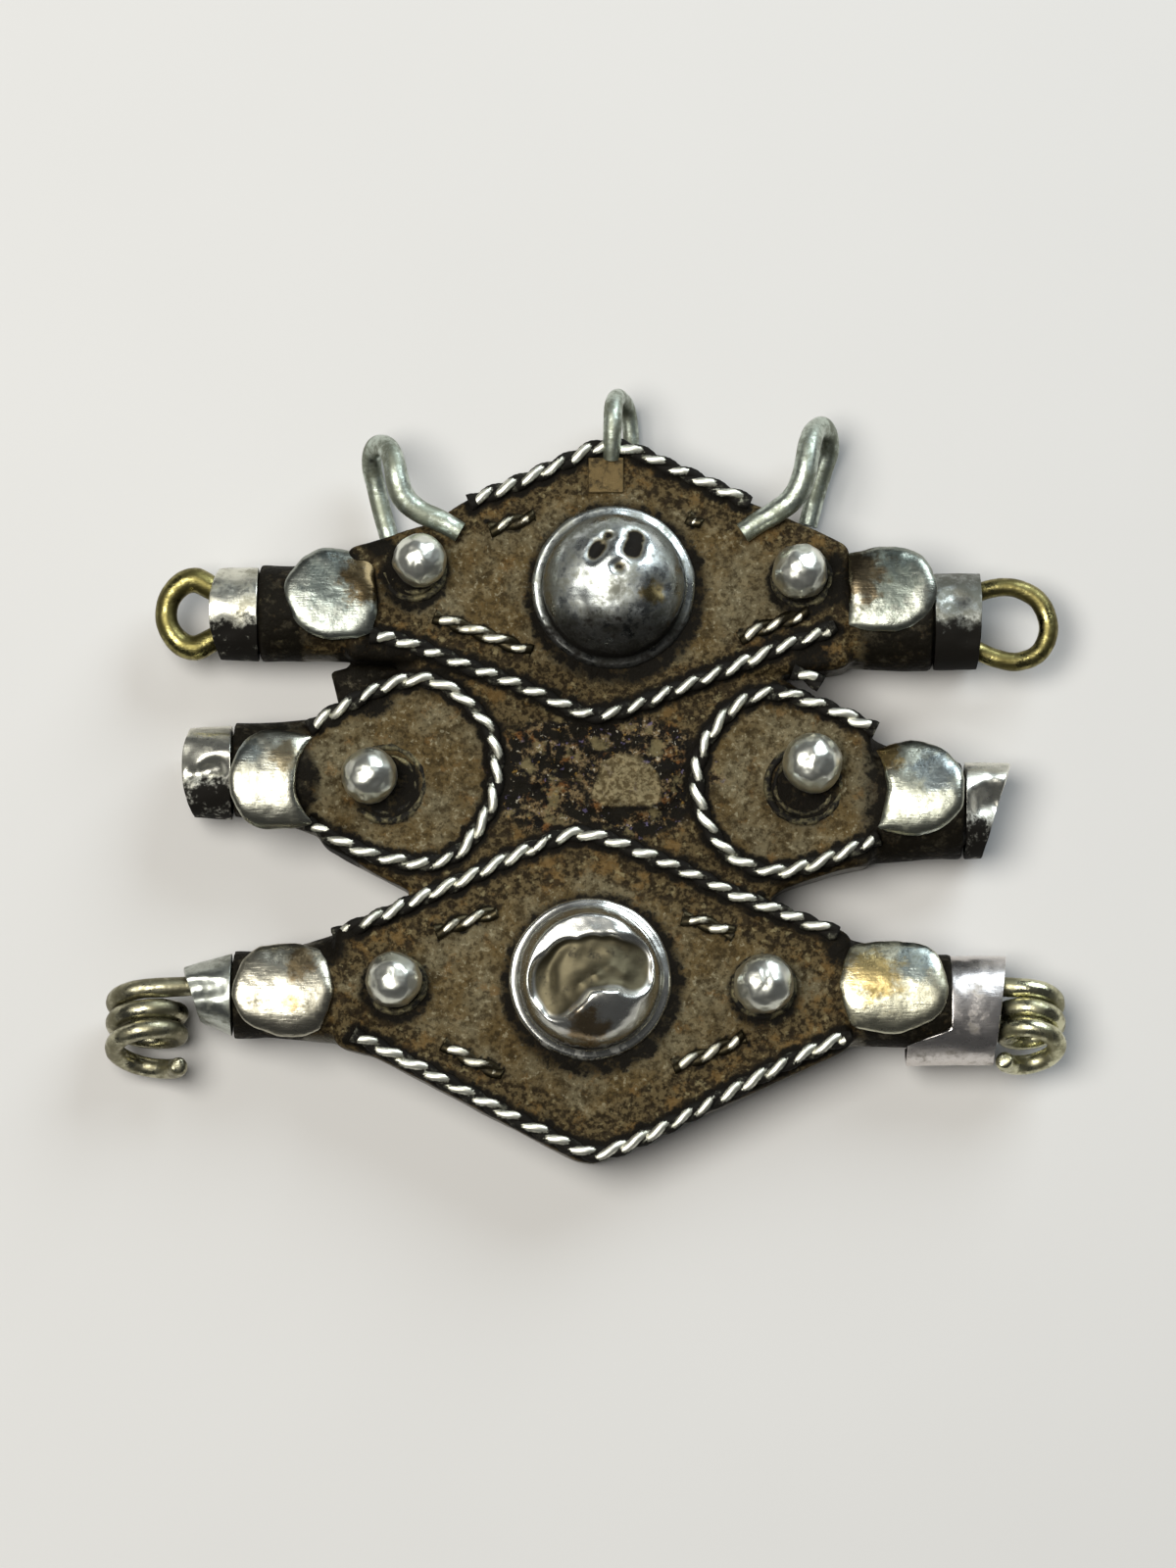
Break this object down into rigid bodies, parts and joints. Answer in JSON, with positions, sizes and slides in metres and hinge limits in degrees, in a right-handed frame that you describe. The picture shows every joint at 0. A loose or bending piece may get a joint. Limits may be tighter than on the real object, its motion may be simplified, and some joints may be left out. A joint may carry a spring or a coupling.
{
  "type": "silver pendant",
  "caption": "Hollow three-row silver necklace centrepiece with bosses, grain, twisted-wire borders, bails and tube ends for strands.",
  "frame": {"origin": "on the flat back (Z = 0), midway between the left and right arms and near the middle row's axis", "axes": "+Z out of the front, +X along the rows to the right as seen from the front, +Y to the top edge with the bails"},
  "size_m": [0.0613, 0.0497, 0.0095],
  "materials": {
    "body": "worn, tarnished",
    "collar_upper_left": "worn, tarnished",
    "collar_upper_right": "worn, tarnished",
    "collar_middle_left": "worn, tarnished",
    "collar_middle_right": "worn, tarnished",
    "collar_lower_left": "worn, tarnished",
    "collar_lower_right": "worn, tarnished",
    "eye_left": "worn, tarnished",
    "eye_right": "worn, tarnished",
    "coil_left": "worn, tarnished",
    "coil_right": "worn, tarnished"
  },
  "bodies": {
    "root": {"body": "body", "collar_upper_left": "collar_upper_left", "collar_upper_right": "collar_upper_right", "collar_middle_left": "collar_middle_left", "collar_middle_right": "collar_middle_right", "collar_lower_left": "collar_lower_left", "collar_lower_right": "collar_lower_right", "eye_left": "eye_left", "eye_right": "eye_right", "coil_left": "coil_left", "coil_right": "coil_right"}
  },
  "joints": []
}
